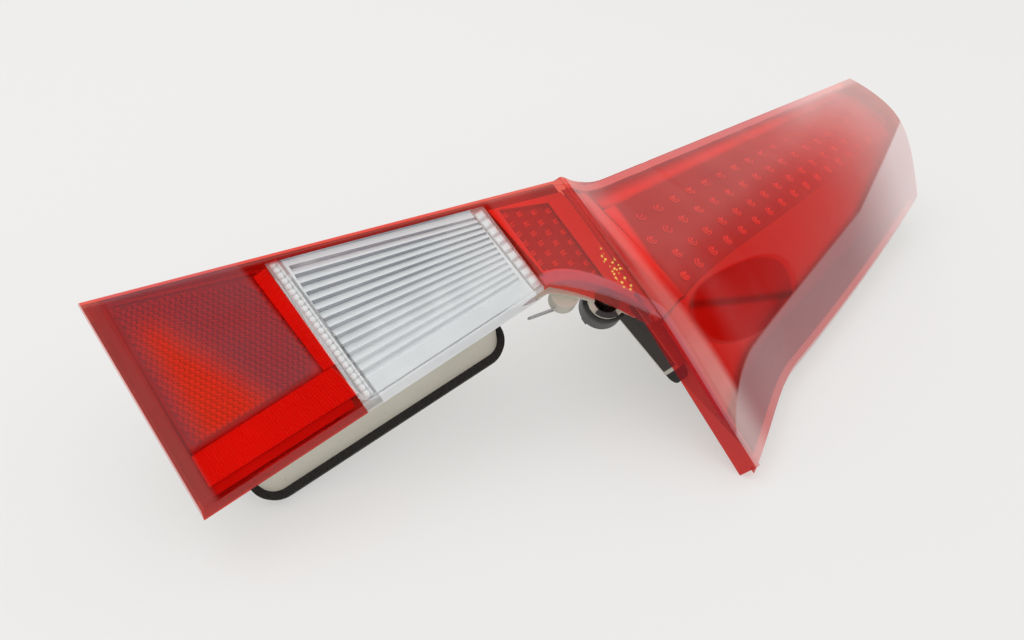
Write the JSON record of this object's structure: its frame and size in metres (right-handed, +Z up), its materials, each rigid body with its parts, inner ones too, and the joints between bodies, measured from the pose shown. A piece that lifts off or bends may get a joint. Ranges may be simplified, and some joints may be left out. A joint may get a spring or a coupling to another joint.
{
  "type": "tail light cluster",
  "caption": "Tall rear lamp for one side of an estate car: red lens with a clear fluted section, pointed shoulder and long dotted blade, on studded plastic housings.",
  "frame": {"origin": "centre of the bounding box's underside, on the surface that the lamp lies on", "axes": "+Z up from that surface, +X along the lamp from its narrow lower end to the top of its blade, +Y towards the middle of the car"},
  "size_m": [0.663, 0.2626, 0.1457],
  "materials": {
    "red_lens": "clear red moulding, polished, lightly hazed",
    "clear_lens": "clear moulding, polished, fluted inside",
    "reflex_red": "dark red honeycomb",
    "optic_red": "red moulding with dots",
    "cup_red": "dark red, smooth",
    "housing": "beige-grey moulding",
    "foam": "matt closed-cell foam",
    "reflector": "metallised plastic",
    "bulb": "clear glass",
    "socket": "black moulding",
    "seal": "smooth rubber",
    "terminal": "tinned",
    "stud": "zinc plated",
    "wire": "bright spring wire",
    "breather": "matt"
  },
  "bodies": {
    "root": {"blade_optic": "optic_red", "blade_reflector": "reflector", "breather_cap": "breather", "clear_lens": "clear_lens", "fixing_studs": "stud", "fog_bulb": "bulb", "fog_reflector": "reflector", "fog_socket": "socket", "indicator_bulb": "bulb", "indicator_socket": "socket", "lower_gasket": "foam", "lower_housing": "housing", "red_lens": "red_lens", "reflex_reflector": "reflex_red", "reverse_bulb": "bulb", "reverse_reflector": "reflector", "reverse_socket": "socket", "shoulder_optic": "optic_red", "side_bulb": "bulb", "side_cup": "cup_red", "side_socket": "socket", "socket_seals": "seal", "socket_terminals": "terminal", "stop_bulb": "bulb", "stop_socket": "socket", "stud_collars": "stud", "tail_bulb": "bulb", "tail_socket": "socket", "upper_gasket": "foam", "upper_housing": "housing", "wire_clip": "wire"}
  },
  "joints": []
}
